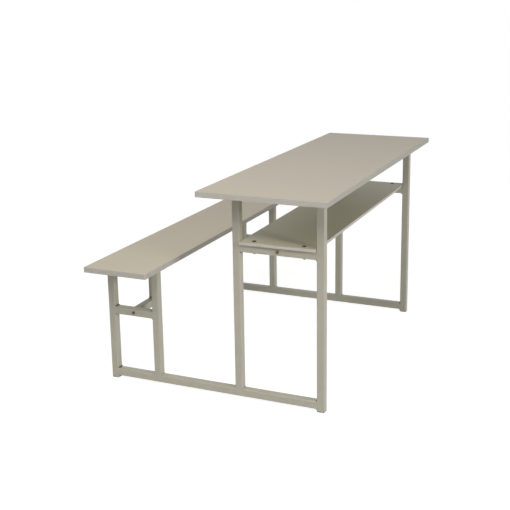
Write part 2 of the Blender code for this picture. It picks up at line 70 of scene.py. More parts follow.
MM = 0.001
X, Y, Z = Vector((1, 0, 0)), Vector((0, 1, 0)), Vector((0, 0, 1))
SIDES = ("left", "right")
ROWS = ("front", "back")
WHITE = (1.0, 1.0, 1.0, 1.0)

# Faces that meet at more than this angle keep a sharp edge between them
SHARP_EDGE = math.radians(40)

# Width of the camera's sensor, in millimetres
SENSOR_WIDTH = 36.0


def linear(hex_colour):
    """Turns an sRGB hex colour into linear red, green and blue."""
    channels = [int(hex_colour[place : place + 2], 16) / 255 for place in (1, 3, 5)]
    return tuple(c / 12.92 if c <= 0.04045 else ((c + 0.055) / 1.055) ** 2.4 for c in channels)


def colour_setting(name, description, hex_colour):
    """Declares a colour that the panel shows."""
    return bpy.props.FloatVectorProperty(
        name=name,
        description=description,
        subtype="COLOR",
        size=3,
        min=0.0,
        max=1.0,
        default=linear(hex_colour),
    )


def length_setting(name, description, default):
    """Declares a length that the panel shows."""
    return bpy.props.FloatProperty(
        name=name,
        description=description,
        subtype="DISTANCE",
        unit="LENGTH",
        min=0.0,
        precision=5,
        default=default,
    )


def share_setting(name, description, default):
    """Declares a value from 0 to 1 that the panel shows."""
    return bpy.props.FloatProperty(
        name=name, description=description, subtype="FACTOR", min=0.0, max=1.0, default=default
    )


def strength_setting(name, description, default):
    """Declares a strength that the panel shows."""
    return bpy.props.FloatProperty(name=name, description=description, min=0.0, default=default)


def power_setting(name, description, default):
    """Declares a lamp's power in watts that the panel shows."""
    return bpy.props.FloatProperty(
        name=name, description=description, unit="POWER", min=0.0, default=default
    )


def place_setting(name, description, default):
    """Declares a place that the panel shows."""
    return bpy.props.FloatVectorProperty(
        name=name, description=description, subtype="TRANSLATION", unit="LENGTH", default=default
    )


def angle_setting(name, description, degrees):
    """Declares an angle that the panel shows."""
    return bpy.props.FloatProperty(
        name=name, description=description, subtype="ANGLE", default=math.radians(degrees)
    )


# Settings


class BoardSettings(bpy.types.PropertyGroup):
    """Colours and texture sizes of the three boards and their edge bands."""

    desktop_colour: colour_setting("Desktop", "Printed melamine of the desktop", "#b0a794")
    seat_colour: colour_setting("Seat", "Printed melamine of the seat", "#bdb39c")
    shelf_colour: colour_setting("Shelf", "Printed melamine of the shelf", "#ccc9ae")
    band_colour: colour_setting(
        "Edge band", "Plastic band round the desktop and the seat", "#b4afa5"
    )
    shelf_band_colour: colour_setting("Shelf band", "Plastic band round the shelf", "#ccc4bc")
    cloud_size: length_setting("Print cloud", "Width of a soft cloud in the print", 45 * MM)
    fleck_size: length_setting("Print fleck", "Width of a fleck in the print", 1.4 * MM)
    pearl_size: length_setting("Pearl", "Width of a dimple of the pearl texture", 0.9 * MM)
    roughness: share_setting("Roughness", "Roughness of the melamine", 0.46)


class FrameSettings(bpy.types.PropertyGroup):
    """Colours and sizes of the enamelled tubes, their welds, and the plastic in their ends."""

    enamel_colour: colour_setting("Enamel", "Stove enamel on the tubes", "#b5b1a1")
    # The weld enamel is darker than the tubes' to paint the shade in the corners of the joints
    weld_shade_colour: colour_setting("Weld enamel and painted shade", "Enamel of the fillet beads, darkened as painted shade in the joints' corners", "#59564a")
    glide_colour: colour_setting("Glides", "Moulded plastic of the feet and plugs", "#959282")
    peel_size: length_setting("Orange peel", "Width of a ripple in the enamel", 2.2 * MM)
    roughness: share_setting("Roughness", "Roughness of the enamel", 0.38)
    bead_radius: length_setting(
        "Bead radius", "Radius of the weld beads at the ends of the rails and posts", 2.5 * MM
    )
    foot_bead_radius: length_setting(
        "Foot bead radius", "Radius of the weld beads at the inner legs", 1.3 * MM
    )
    ground_width: length_setting("Ground weld", "Width of a weld that is ground flush", 3.7 * MM)
    ground_depth: length_setting("Ground depth", "Depth of the middle of a ground weld", 1.2 * MM)
    ripple_spacing: length_setting("Weld ripple", "Spacing of the ripples along a bead", 1.5 * MM)
    plug_corner: length_setting(
        "Plug corner", "Corner radius of the plugs, which is the tube's", 3.0 * MM
    )
    plug_head: length_setting("Plug head", "Thickness of the head of a plug", 2.2 * MM)
    plug_chamfer: length_setting("Plug chamfer", "Bevel round the head of a plug", 0.6 * MM)
    plug_stem: length_setting("Plug stem", "Length of a plug's stem inside the tube", 12 * MM)
    plug_inset: length_setting(
        "Plug inset", "How far the stem stands in from the head's sides", 1.6 * MM
    )


class FastenerSettings(bpy.types.PropertyGroup):
    """Colours and sizes of the zinc-plated bolts, nuts, screws and washers."""

    plate_colour: colour_setting(
        "Yellow plating", "Yellow passivated zinc of the bolts", "#856f54"
    )
    tarnish_colour: colour_setting("Tarnish", "Dulled parts of the yellow plating", "#4e3f2d")
    zinc_colour: colour_setting(
        "Clear plating", "Clear passivated zinc of the nuts, washers and screws", "#a9aaa3"
    )
    dull_colour: colour_setting("Dull zinc", "Dulled parts of the clear plating", "#7f8079")
    tarnish_size: length_setting("Tarnish patch", "Width of a dull patch", 2.5 * MM)
    washer_width: length_setting("Washer", "Outer diameter of the washers", 12 * MM)
    washer_bore: length_setting("Washer bore", "Hole of the washers", 5.4 * MM)
    washer_thickness: length_setting("Washer thickness", "Thickness of the washers", 0.9 * MM)


class StageSettings(bpy.types.PropertyGroup):
    """Floor, sky, lamps and camera."""

    floor_colour: colour_setting("Floor", "Pale studio floor", "#e2e1dd")
    floor_width: length_setting("Floor width", "Side of the square floor", 16.0)
    shadow_reach: length_setting(
        "Shadow reach", "How far out the floor keeps its full shadow", 1.5
    )
    white_reach: length_setting("White reach", "How far out the floor turns plain white", 3.5)
    glow_share: share_setting("Glow share", "Share of the glow in the floor near the desk", 0.65)
    glow_strength: strength_setting("Glow strength", "Strength of the glow near the desk", 1.42)
    sky_colour: colour_setting("Sky", "Light from all round", "#ffffff")
    horizon_strength: strength_setting(
        "Horizon", "Strength of the sky's light near the floor", 0.159
    )
    zenith_strength: strength_setting("Zenith", "Strength of the sky's light overhead", 0.09)
    lamp_width: length_setting("Lamp width", "Side of each square lamp", 2.0)
    near_colour: colour_setting(
        "Near lamp colour", "Light of the lamp above the near end", "#ffffff"
    )
    near_power: power_setting("Near lamp", "Power of the lamp above the near end", 5.6)
    near_place: place_setting(
        "Near lamp place", "Place of the lamp above the near end", (-2.0, -1.2, 2.2)
    )
    front_colour: colour_setting(
        "Front lamp colour", "Light of the lamp on the desk's side", "#fdffff"
    )
    front_power: power_setting("Front lamp", "Power of the lamp on the desk's side", 330.5)
    front_place: place_setting(
        "Front lamp place", "Place of the lamp on the desk's side", (-3.5, -8.0, 3.0)
    )
    knee_colour: colour_setting(
        "Knee lamp colour", "Light of the lamp above the gap for the knees", "#fffeff"
    )
    knee_power: power_setting("Knee lamp", "Power of the lamp above the gap for the knees", 47.6)
    knee_place: place_setting(
        "Knee lamp place", "Place of the lamp above the gap for the knees", (-1.6, 0.0, 2.6)
    )
    camera_place: place_setting(
        "Camera place", "Place of the camera", (-2.936396, -1.239576, 1.269364)
    )
    heading: angle_setting("Heading", "Turn of the view from +X towards +Y", 22.564257)
    tilt: angle_setting("Tilt", "Fall of the view below level", 12.977138)
    roll: angle_setting("Roll", "Lean of the camera", 0.548537)
    focal_length: bpy.props.FloatProperty(
        name="Focal length",
        description="Focal length on a 36 mm sensor",
        unit="CAMERA",
        default=64.6494,
    )
    shift: bpy.props.FloatVectorProperty(
        name="Shift",
        description="Lens shift, as shares of the frame",
        size=2,
        default=(-0.04902, -0.107843),
    )


# Materials


def add_node(material, kind, inputs=None, **settings):
    """Adds a node to a material or world.

    An input is given by its name or number, and takes a value or the output that feeds it.
    """
    tree = material.node_tree
    node = tree.nodes.new(kind)
    for name, value in settings.items():
        setattr(node, name, value)
    for key, value in (inputs or {}).items():
        if isinstance(value, bpy.types.NodeSocket):
            tree.links.new(value, node.inputs[key])
        else:
            node.inputs[key].default_value = value
    return node


def new_material(name):
    """Starts an empty node material."""
    material = bpy.data.materials.new(name)
    material.use_nodes = True
    material.node_tree.nodes.clear()
    return material


def opaque(colour, share=1.0):
    """Returns a colour, darkened or lightened by a share, with its alpha."""
    return (*(channel * share for channel in colour), 1.0)


def shades(colour, darkest, lightest):
    """Returns the two colours of a mix that runs between two shares of one colour."""
    return {6: opaque(colour, darkest), 7: opaque(colour, lightest)}


def around(level, change):
    """Returns the outputs of a range that runs from under a level to as far over it."""
    return {"To Min": level - change, "To Max": level + change}


def melamine(name, colour, settings):
    """Melamine-faced particle board, pressed against a pearl-textured plate.

    The print under the resin gives a soft cloud and fine flecks, and the pearl texture a matt,
    even sheen.
    """
    material = new_material(name)
    place = add_node(material, "ShaderNodeTexCoord").outputs["Object"]
    clouds = add_node(
        material,
        "ShaderNodeTexNoise",
        {"Vector": place, "Scale": 1 / settings.cloud_size, "Detail": 3.0, "Roughness": 0.55},
    )
    tint = add_node(
        material,
        "ShaderNodeMix",
        {0: clouds.outputs["Fac"], **shades(colour, darkest=0.955, lightest=1.045)},
        data_type="RGBA",
    )
    flecks = add_node(
        material,
        "ShaderNodeTexNoise",
        {"Vector": place, "Scale": 1 / settings.fleck_size, "Detail": 2.0, "Roughness": 0.7},
    )
    # Only the peaks of the noise show, as faint flecks of a darker shade
    fleck_mask = add_node(
        material,
        "ShaderNodeMapRange",
        {
            "Value": flecks.outputs["Fac"],
            "From Min": 0.56,
            "From Max": 0.72,
            "To Min": 0.0,
            "To Max": 0.35,
        },
        interpolation_type="SMOOTHSTEP",
    )
    printed = add_node(
        material,
        "ShaderNodeMix",
        {0: fleck_mask.outputs["Result"], 6: tint.outputs[2], 7: opaque(colour, share=0.8)},
        data_type="RGBA",
    )
    pearl = add_node(
        material,
        "ShaderNodeTexNoise",
        {"Vector": place, "Scale": 1 / settings.pearl_size, "Detail": 1.0, "Roughness": 0.4},
    )
    relief = add_node(
        material,
        "ShaderNodeBump",
        {"Height": pearl.outputs["Fac"], "Strength": 0.25, "Distance": 0.05 * MM},
    )
    gloss = add_node(
        material,
        "ShaderNodeMapRange",
        {"Value": clouds.outputs["Fac"], **around(settings.roughness, change=0.04)},
    )
    shader = add_node(
        material,
        "ShaderNodeBsdfPrincipled",
        {
            "Base Color": printed.outputs[2],
            "Roughness": gloss.outputs["Result"],
            "IOR": 1.5,
            "Normal": relief.outputs["Normal"],
        },
    )
    add_node(material, "ShaderNodeOutputMaterial", {"Surface": shader.outputs["BSDF"]})
    return material


def abs_edge_band(name, colour):
    """ABS edge band, extruded, glued round the board and trimmed flush.

    The trimming leaves fine scratches along it, and the plastic is as matt as the board.
    """
    scratch_length = 30 * MM
    scratch_spacing = 0.4 * MM
    material = new_material(name)
    place = add_node(material, "ShaderNodeTexCoord").outputs["Object"]
    stretch = add_node(
        material,
        "ShaderNodeMapping",
        {"Vector": place, "Scale": (1 / scratch_length, 1 / scratch_length, 1 / scratch_spacing)},
    )
    scratches = add_node(
        material,
        "ShaderNodeTexNoise",
        {"Vector": stretch.outputs["Vector"], "Scale": 1.0, "Detail": 3.0},
    )
    tint = add_node(
        material,
        "ShaderNodeMix",
        {0: scratches.outputs["Fac"], **shades(colour, darkest=0.95, lightest=1.05)},
        data_type="RGBA",
    )
    relief = add_node(
        material,
        "ShaderNodeBump",
        {"Height": scratches.outputs["Fac"], "Strength": 0.2, "Distance": 0.04 * MM},
    )
    shader = add_node(
        material,
        "ShaderNodeBsdfPrincipled",
        {
            "Base Color": tint.outputs[2],
            "Roughness": 0.52,
            "IOR": 1.53,
            "Normal": relief.outputs["Normal"],
        },
    )
    add_node(material, "ShaderNodeOutputMaterial", {"Surface": shader.outputs["BSDF"]})
    return material


def stove_enamel(name, colour, settings):
    """Stove enamel, sprayed on welded steel tube and baked.

    It flows into a slight orange peel, so its satin reflections are soft and broken.
    """
    # The coat is thicker and thinner in patches of this width, which shifts its colour a little
    coat_patch = 60 * MM
    material = new_material(name)
    place = add_node(material, "ShaderNodeTexCoord").outputs["Object"]
    coat = add_node(
        material,
        "ShaderNodeTexNoise",
        {"Vector": place, "Scale": 1 / coat_patch, "Detail": 2.0, "Roughness": 0.5},
    )
    tint = add_node(
        material,
        "ShaderNodeMix",
        {0: coat.outputs["Fac"], **shades(colour, darkest=0.93, lightest=1.06)},
        data_type="RGBA",
    )
    peel = add_node(
        material,
        "ShaderNodeTexNoise",
        {"Vector": place, "Scale": 1 / settings.peel_size, "Detail": 1.0, "Roughness": 0.4},
    )
    relief = add_node(
        material,
        "ShaderNodeBump",
        {"Height": peel.outputs["Fac"], "Strength": 0.3, "Distance": 0.06 * MM},
    )
    gloss = add_node(
        material,
        "ShaderNodeMapRange",
        {"Value": coat.outputs["Fac"], **around(settings.roughness, change=0.05)},
    )
    shader = add_node(
        material,
        "ShaderNodeBsdfPrincipled",
        {
            "Base Color": tint.outputs[2],
            "Roughness": gloss.outputs["Result"],
            "IOR": 1.5,
            "Normal": relief.outputs["Normal"],
        },
    )
    add_node(material, "ShaderNodeOutputMaterial", {"Surface": shader.outputs["BSDF"]})
    return material


def moulded_polyethylene(settings):
    """Low-density polyethylene, injection moulded.

    It is waxy, with the fine grain of a spark-eroded mould.
    """
    grain_width = 0.6 * MM
    material = new_material("moulded_polyethylene")
    place = add_node(material, "ShaderNodeTexCoord").outputs["Object"]
    grain = add_node(
        material,
        "ShaderNodeTexNoise",
        {"Vector": place, "Scale": 1 / grain_width, "Detail": 2.0},
    )
    tint = add_node(
        material,
        "ShaderNodeMix",
        {0: grain.outputs["Fac"], **shades(settings.glide_colour, darkest=0.9, lightest=1.08)},
        data_type="RGBA",
    )
    relief = add_node(
        material,
        "ShaderNodeBump",
        {"Height": grain.outputs["Fac"], "Strength": 0.3, "Distance": 0.05 * MM},
    )
    shader = add_node(
        material,
        "ShaderNodeBsdfPrincipled",
        {
            "Base Color": tint.outputs[2],
            "Roughness": 0.5,
            "IOR": 1.51,
            "Normal": relief.outputs["Normal"],
        },
    )
    add_node(material, "ShaderNodeOutputMaterial", {"Surface": shader.outputs["BSDF"]})
    return material


def passivated_zinc(name, bright, dull, settings):
    """Zinc plate on steel, passivated and then worn.

    Dull patches lie on a metal shine that is still clear between them.
    """
    material = new_material(name)
    place = add_node(material, "ShaderNodeTexCoord").outputs["Object"]
    tarnish = add_node(
        material,
        "ShaderNodeTexNoise",
        {"Vector": place, "Scale": 1 / settings.tarnish_size, "Detail": 3.0, "Roughness": 0.6},
    )
    patches = add_node(
        material,
        "ShaderNodeMapRange",
        {"Value": tarnish.outputs["Fac"], "From Min": 0.4, "From Max": 0.62},
        interpolation_type="SMOOTHSTEP",
    )
    tint = add_node(
        material,
        "ShaderNodeMix",
        {0: patches.outputs["Result"], 6: opaque(bright), 7: opaque(dull)},
        data_type="RGBA",
    )
    gloss = add_node(
        material,
        "ShaderNodeMapRange",
        {"Value": patches.outputs["Result"], "To Min": 0.32, "To Max": 0.55},
    )
    relief = add_node(
        material,
        "ShaderNodeBump",
        {"Height": tarnish.outputs["Fac"], "Strength": 0.2, "Distance": 0.04 * MM},
    )
    shader = add_node(
        material,
        "ShaderNodeBsdfPrincipled",
        {
            "Base Color": tint.outputs[2],
            "Metallic": 1.0,
            "Roughness": gloss.outputs["Result"],
            "Normal": relief.outputs["Normal"],
        },
    )
    add_node(material, "ShaderNodeOutputMaterial", {"Surface": shader.outputs["BSDF"]})
    return material


def yellow_zinc(settings):
    """Zinc plate on steel, passivated yellow and gone brown: the finish of the bolts."""
    return passivated_zinc(
        "yellow_passivated_zinc", settings.plate_colour, settings.tarnish_colour, settings
    )


def clear_zinc(settings):
    """Zinc plate on steel, passivated clear: the plain grey of nuts, washers and screws."""
    return passivated_zinc(
        "clear_passivated_zinc", settings.zinc_colour, settings.dull_colour, settings
    )


def background_rays(owner):
    """Returns an output that is 1 for the camera's rays and those that metal or glass turn."""
    path = add_node(owner, "ShaderNodeLightPath")
    turned = add_node(
        owner,
        "ShaderNodeMath",
        {0: path.outputs["Is Glossy Ray"], 1: path.outputs["Is Transmission Ray"]},
        operation="MAXIMUM",
    )
    seen = add_node(
        owner,
        "ShaderNodeMath",
        {0: path.outputs["Is Camera Ray"], 1: turned.outputs["Value"]},
        operation="MAXIMUM",
    )
    return seen.outputs["Value"]


def studio_paper(settings):
    """Matt studio paper: white to the camera and in reflections, with the desk's soft shadow."""
    # Paper fibre, drawn this wide so that it shows
    fibre_width = 4 * MM
    material = new_material("matt_studio_paper")
    place = add_node(material, "ShaderNodeTexCoord").outputs["Object"]
    fibre = add_node(
        material,
        "ShaderNodeTexNoise",
        {"Vector": place, "Scale": 1 / fibre_width, "Detail": 2.0},
    )
    tint = add_node(
        material,
        "ShaderNodeMix",
        {0: fibre.outputs["Fac"], **shades(settings.floor_colour, darkest=0.99, lightest=1.0)},
        data_type="RGBA",
    )
    paper = add_node(material, "ShaderNodeBsdfDiffuse", {"Color": tint.outputs[2]})
    # The paper's share, and with it the shadow, fades on the way out, so that no horizon shows.
    # The glow makes up for the share that it takes, and falls to plain white where it is all that
    # is left.
    reach = add_node(material, "ShaderNodeVectorMath", {0: place}, operation="LENGTH")
    way_out = {
        "Value": reach.outputs["Value"],
        "From Min": settings.shadow_reach,
        "From Max": settings.white_reach,
        "To Max": 1.0,
    }
    fade = add_node(
        material,
        "ShaderNodeMapRange",
        {**way_out, "To Min": settings.glow_share},
        interpolation_type="SMOOTHSTEP",
    )
    strength = add_node(
        material,
        "ShaderNodeMapRange",
        {**way_out, "To Min": settings.glow_strength},
        interpolation_type="SMOOTHSTEP",
    )
    glow = add_node(
        material,
        "ShaderNodeEmission",
        {"Color": WHITE, "Strength": strength.outputs["Result"]},
    )
    share = add_node(
        material,
        "ShaderNodeMath",
        {0: background_rays(material), 1: fade.outputs["Result"]},
        operation="MULTIPLY",
    )
    blend = add_node(
        material,
        "ShaderNodeMixShader",
        {0: share.outputs["Value"], 1: paper.outputs["BSDF"], 2: glow.outputs["Emission"]},
    )
    add_node(material, "ShaderNodeOutputMaterial", {"Surface": blend.outputs["Shader"]})
    return material


def nodes_ending(*endings):
    """Lists the CAD nodes whose names have one of the endings."""
    return [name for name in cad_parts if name.endswith(endings)]


def finish(nodes, material):
    """Gives CAD nodes a material."""
    for name in nodes:
        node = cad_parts[name]
        node.data.materials.clear()
        node.data.materials.append(material)


# Shapes


def add_piece(name, shape, material):
    """Closes a bmesh into a piece that rides on the desk."""
    bmesh.ops.recalc_face_normals(shape, faces=shape.faces)
    mesh = bpy.data.meshes.new(name)
    shape.to_mesh(mesh)
    shape.free()
    mesh.shade_smooth()
    mesh.set_sharp_from_angle(angle=SHARP_EDGE)
    mesh.materials.append(material)
    piece = bpy.data.objects.new(name, mesh)
    bpy.context.scene.collection.objects.link(piece)
    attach(piece, "root")


def skin_rings(shape, rings):
    """Joins each ring to the next, which has as many points, with a band of faces."""
    for first, second in zip(rings, rings[1:]):
        for corner in range(len(first)):
            after = (corner + 1) % len(first)
            shape.faces.new((first[corner], first[after], second[after], second[corner]))


def cap_rings(shape, rings):
    """Skins rings and closes the first and the last with a face."""
    skin_rings(shape, rings)
    shape.faces.new(rings[0][::-1])
    shape.faces.new(rings[-1])


def add_weld_run(shape, start, end, radius, ripple_spacing, seed, facing=None, level=0.0):
    """Adds one weld bead between two points: a rippled, slightly wandering roll with round ends.

    Where it faces a way, what stands out past the level on that way is ground off, all but a
    trace.
    """
    sides = 12
    steps_a_ripple = 3
    fewest_steps = 8
    # Shares of the bead's radius
    tip = 0.18
    ripple_foot = 0.94
    ripple_rise = 0.1
    widest_wander = 0.12
    back_lean = 0.1
    # Radians that the wander turns for each radius along the bead
    wander_turn = 1.3
    # Share of what stands out that grinding takes
    ground_share = 0.97

    chance = random.Random(seed)
    along = end - start
    length = along.length
    heading = along.normalized()
    across = heading.orthogonal().normalized()
    upward = heading.cross(across)
    steps = max(fewest_steps, round(length / ripple_spacing * steps_a_ripple))
    phase = chance.uniform(-3, 3)
    drift = chance.uniform(-1, 1)
    rings = []
    for step in range(steps + 1):
        reach = length * step / steps
        # The bead swells to full size over its own radius at each end
        nearest = min(reach, length - reach) / radius
        swell = math.sqrt(max(0.0, 1 - (1 - min(nearest, 1.0)) ** 2))
        ripple = (reach / ripple_spacing) % 1.0
        size = radius * (tip + (1 - tip) * swell) * (ripple_foot + ripple_rise * ripple)
        wander = radius * widest_wander * math.sin(reach / radius * wander_turn + phase) * drift
        middle = start + heading * reach + across * wander
        ring = []
        for corner in range(sides):
            angle = math.tau * corner / sides
            spoke = across * math.cos(angle) + upward * math.sin(angle)
            # Each ripple leans back along the bead, as the pool froze behind the arc
            lean = heading * radius * back_lean * abs(math.cos(angle)) * swell
            point = middle + spoke * size - lean
            if facing is not None:
                point -= facing * max(0.0, point.dot(facing) - level) * ground_share
            ring.append(shape.verts.new(point))
        rings.append(ring)
    cap_rings(shape, rings)


def square_ring(shape, centre, half, radius):
    """Adds a ring of points round a square with rounded corners that faces along X."""
    corner_steps = 6
    quarter = math.pi / 2
    ring = []
    for corner in range(4):
        for step in range(corner_steps + 1):
            angle = quarter * (corner + step / corner_steps)
            middle = quarter * corner + quarter / 2
            reach = (half - radius) * math.sqrt(2)
            across = reach * math.cos(middle) + radius * math.cos(angle)
            up = reach * math.sin(middle) + radius * math.sin(angle)
            ring.append(shape.verts.new(centre + Vector((0.0, across, up))))
    return ring


def end_face(tube, inward):
    """Returns the middle of a tube's end that faces away from inward, and the tube's size."""
    low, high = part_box(tube)
    size = high - low
    return (low + high) / 2 - inward * size / 2, size


def weld_end(tube, inward, sides, fillets, ground, settings, radius, seed):
    """Adds the weld runs round the end of a tube that stands on another.

    The tube goes off from that end along inward. Each of its sides is given by the way it faces,
    and by whether it is flush with the tube that carries it. There the weld fills the groove along
    that tube's rounded corner and is ground flush. Elsewhere it is a plain fillet of the given
    radius.
    """
    # How far the middle of a ground weld lies past the tube's end, as a share of its width, and
    # how far that of a fillet stands out of the corner, as a share of the radius
    ground_past = 0.36
    fillet_out = 0.35
    # How far each stops short of the tube's edges, as shares of the radius
    ground_short = 0.3
    fillet_short = 0.6
    # Grinding takes most of the ripples off, so a ground weld has half as many
    ground_ripple = 2

    centre, size = end_face(tube, inward)
    for number, (facing, flush) in enumerate(sides):
        along = inward.cross(facing)
        half = abs(facing.dot(size)) / 2
        other = abs(along.dot(size)) / 2
        if flush:
            fill = math.hypot(settings.ground_width / 2, settings.ground_depth)
            middle = centre + facing * (half - settings.ground_depth)
            middle -= inward * settings.ground_width * ground_past
            reach = along * (other - radius * ground_short)
            level = (centre + facing * half).dot(facing)
            spacing = settings.ripple_spacing * ground_ripple
            start, end = middle - reach, middle + reach
            add_weld_run(ground, start, end, fill, spacing, seed + number, facing, level)
        else:
            middle = centre + facing * (half + radius * fillet_out) + inward * radius * fillet_out
            reach = along * (other - radius * fillet_short)
            start, end = middle - reach, middle + reach
            add_weld_run(fillets, start, end, radius, settings.ripple_spacing, seed + number)


def rail_weld_sides(rail):
    """Lists the welded sides of a rail's end, and whether each is flush with the leg."""
    sides = [(X, True), (-X, True), (-Z, False)]
    # The boards lie on the top rails, which have no weld above
    if rail not in ("desktop_rail", "seat_rail"):
        sides.append((Z, False))
    return sides


def weld_enamels(settings):
    """Returns the fillets' enamel, darkened as painted shade for the corners of the joints, and the
    full coat of the ground welds.
    """
    painted_shade_enamel = stove_enamel("stove_enamel_on_weld", settings.weld_shade_colour, settings)
    full = stove_enamel("stove_enamel_on_ground_weld", settings.enamel_colour, settings)
    return painted_shade_enamel, full


# Operators


class DESK_OT_finish_boards(bpy.types.Operator):
    """Finish the desktop, the seat, the shelf and their edge bands"""

    bl_idname = "desk.finish_boards"
    bl_label = "Finish boards"

    def execute(self, context):
        settings = context.scene.desk_boards
        for board in ("desktop", "seat", "shelf"):
            colour = getattr(settings, board + "_colour")
            finish([board + "_board"], melamine("melamine_faced_" + board, colour, settings))
        band = abs_edge_band("abs_edge_band", settings.band_colour)
        finish(["desktop_edge_band", "seat_edge_band"], band)
        shelf_band = abs_edge_band("abs_shelf_edge_band", settings.shelf_band_colour)
        finish(["shelf_edge_band"], shelf_band)
        return {"FINISHED"}


class DESK_OT_finish_frame(bpy.types.Operator):
    """Finish the enamelled tubes of the end frames, the stretcher and the seat bracket"""

    bl_idname = "desk.finish_frame"
    bl_label = "Finish frame"

    def execute(self, context):
        settings = context.scene.desk_frame
        tubes = nodes_ending("_leg", "_rail", "_arm", "_post", "_stretcher")
        finish(tubes, stove_enamel("stove_enamel_on_tube", settings.enamel_colour, settings))
        return {"FINISHED"}


class DESK_OT_finish_feet(bpy.types.Operator):
    """Finish the moulded glides in the feet"""

    bl_idname = "desk.finish_feet"
    bl_label = "Finish feet"

    def execute(self, context):
        finish(nodes_ending("_glide"), moulded_polyethylene(context.scene.desk_frame))
        return {"FINISHED"}


class DESK_OT_finish_fasteners(bpy.types.Operator):
    """Finish the bolts, nuts, screws and threaded inserts"""

    bl_idname = "desk.finish_fasteners"
    bl_label = "Finish fasteners"

    def execute(self, context):
        settings = context.scene.desk_fasteners
        finish(nodes_ending("_bolt"), yellow_zinc(settings))
        finish(nodes_ending("_nut", "_screw", "_insert"), clear_zinc(settings))
        return {"FINISHED"}


class DESK_OT_make_frame_welds(bpy.types.Operator):
    """Make the welds between the legs and rails of both end frames"""

    bl_idname = "desk.make_frame_welds"
    bl_label = "Make frame welds"

    def execute(self, context):
        settings = context.scene.desk_frame
        painted_shade_enamel, full = weld_enamels(settings)
        # The seeds of the ends are this far apart, as each side of an end adds its number
        seed_step = 10
        for side in SIDES:
            fillets, ground = bmesh.new(), bmesh.new()
            seed = 0
            for rail in ("base_rail", "shelf_rail", "desktop_rail", "bench_rail", "seat_rail"):
                tube = side + "_" + rail
                sides = rail_weld_sides(rail)
                radius = settings.bead_radius
                for inward in (Y, -Y):
                    seed += seed_step
                    weld_end(tube, inward, sides, fillets, ground, settings, radius, seed)
            # The small beads at the inner legs take the full coat of the ground welds, without the
            # painted shade
            for leg in ("desk_back_leg", "bench_front_leg"):
                tube = side + "_" + leg
                sides = [(X, True), (-X, True), (Y, False), (-Y, False)]
                radius = settings.foot_bead_radius
                seed += seed_step
                weld_end(tube, Z, sides, ground, ground, settings, radius, seed)
            # The fillets carry the painted shade of the joints' corners
            add_piece(side + "_frame_welds", fillets, painted_shade_enamel)
            add_piece(side + "_frame_ground_welds", ground, full)
        return {"FINISHED"}


class DESK_OT_make_bracket_welds(bpy.types.Operator):
    """Make the welds that hold the posts of the seat bracket between its arms and its stretcher"""

    bl_idname = "desk.make_bracket_welds"
    bl_label = "Make bracket welds"

    def execute(self, context):
        settings = context.scene.desk_frame
        painted_shade_enamel, full = weld_enamels(settings)
        foot_seed = 500
        head_seed = 600
        for side, outward in zip(SIDES, (-X, X)):
            fillets, ground = bmesh.new(), bmesh.new()
            tube = side + "_bracket_post"
            radius = settings.bead_radius
            for seed, inward, facing in ((foot_seed, Z, outward), (head_seed, -Z, -outward)):
                sides = [(Y, True), (-Y, True), (facing, False)]
                weld_end(tube, inward, sides, fillets, ground, settings, radius, seed)
            # The fillets carry the painted shade of the joints' corners
            add_piece(side + "_bracket_welds", fillets, painted_shade_enamel)
            add_piece(side + "_bracket_ground_welds", ground, full)
        return {"FINISHED"}


class DESK_OT_make_plugs(bpy.types.Operator):
    """Make the plugs that close the open ends of the bracket's arms"""

    bl_idname = "desk.make_plugs"
    bl_label = "Make plugs"

    def execute(self, context):
        settings = context.scene.desk_frame
        plastic = moulded_polyethylene(settings)
        head = settings.plug_head
        stem = settings.plug_stem
        chamfer = settings.plug_chamfer
        inset = settings.plug_inset
        # How far each step stands out of the tube, and how far in from the tube's sides
        steps = (
            (-stem, inset + chamfer),
            (chamfer - stem, inset),
            (0.0, inset),
            (0.0, 0.0),
            (head - chamfer, 0.0),
            (head, chamfer),
        )
        for side, inward in zip(SIDES, (X, -X)):
            centre, size = end_face(side + "_bracket_arm", -inward)
            half = size.z / 2
            corner = settings.plug_corner
            shape = bmesh.new()
            rings = [
                square_ring(shape, centre + inward * out, half - back, corner - back)
                for out, back in steps
            ]
            cap_rings(shape, rings)
            add_piece(side + "_arm_end_plug", shape, plastic)
        return {"FINISHED"}


class DESK_OT_make_washers(bpy.types.Operator):
    """Make the washers between the shelf rails and the nuts"""

    bl_idname = "desk.make_washers"
    bl_label = "Make washers"

    def execute(self, context):
        settings = context.scene.desk_fasteners
        zinc = clear_zinc(settings)
        outer = settings.washer_width / 2
        inner = settings.washer_bore / 2
        # The stamped edge is bevelled by a quarter of the thickness
        bevel = settings.washer_thickness * 0.25
        steps_round = 40
        for side in SIDES:
            rail_low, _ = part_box(side + "_shelf_rail")
            top = rail_low.z
            bottom = top - settings.washer_thickness
            profile = (
                (inner, top),
                (outer - bevel, top),
                (outer, top - bevel),
                (outer, bottom + bevel),
                (outer - bevel, bottom),
                (inner, bottom),
            )
            for row in ROWS:
                low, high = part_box(side + "_" + row + "_shelf_nut")
                axis = (low + high) / 2
                axis.z = 0.0
                shape = bmesh.new()
                rings = []
                for step in range(steps_round):
                    angle = math.tau * step / steps_round
                    outward = X * math.cos(angle) + Y * math.sin(angle)
                    ring = [axis + outward * reach + Z * height for reach, height in profile]
                    rings.append([shape.verts.new(point) for point in ring])
                # The last step of the turn is joined to the first
                skin_rings(shape, rings + rings[:1])
                add_piece(side + "_" + row + "_shelf_washer", shape, zinc)
        return {"FINISHED"}


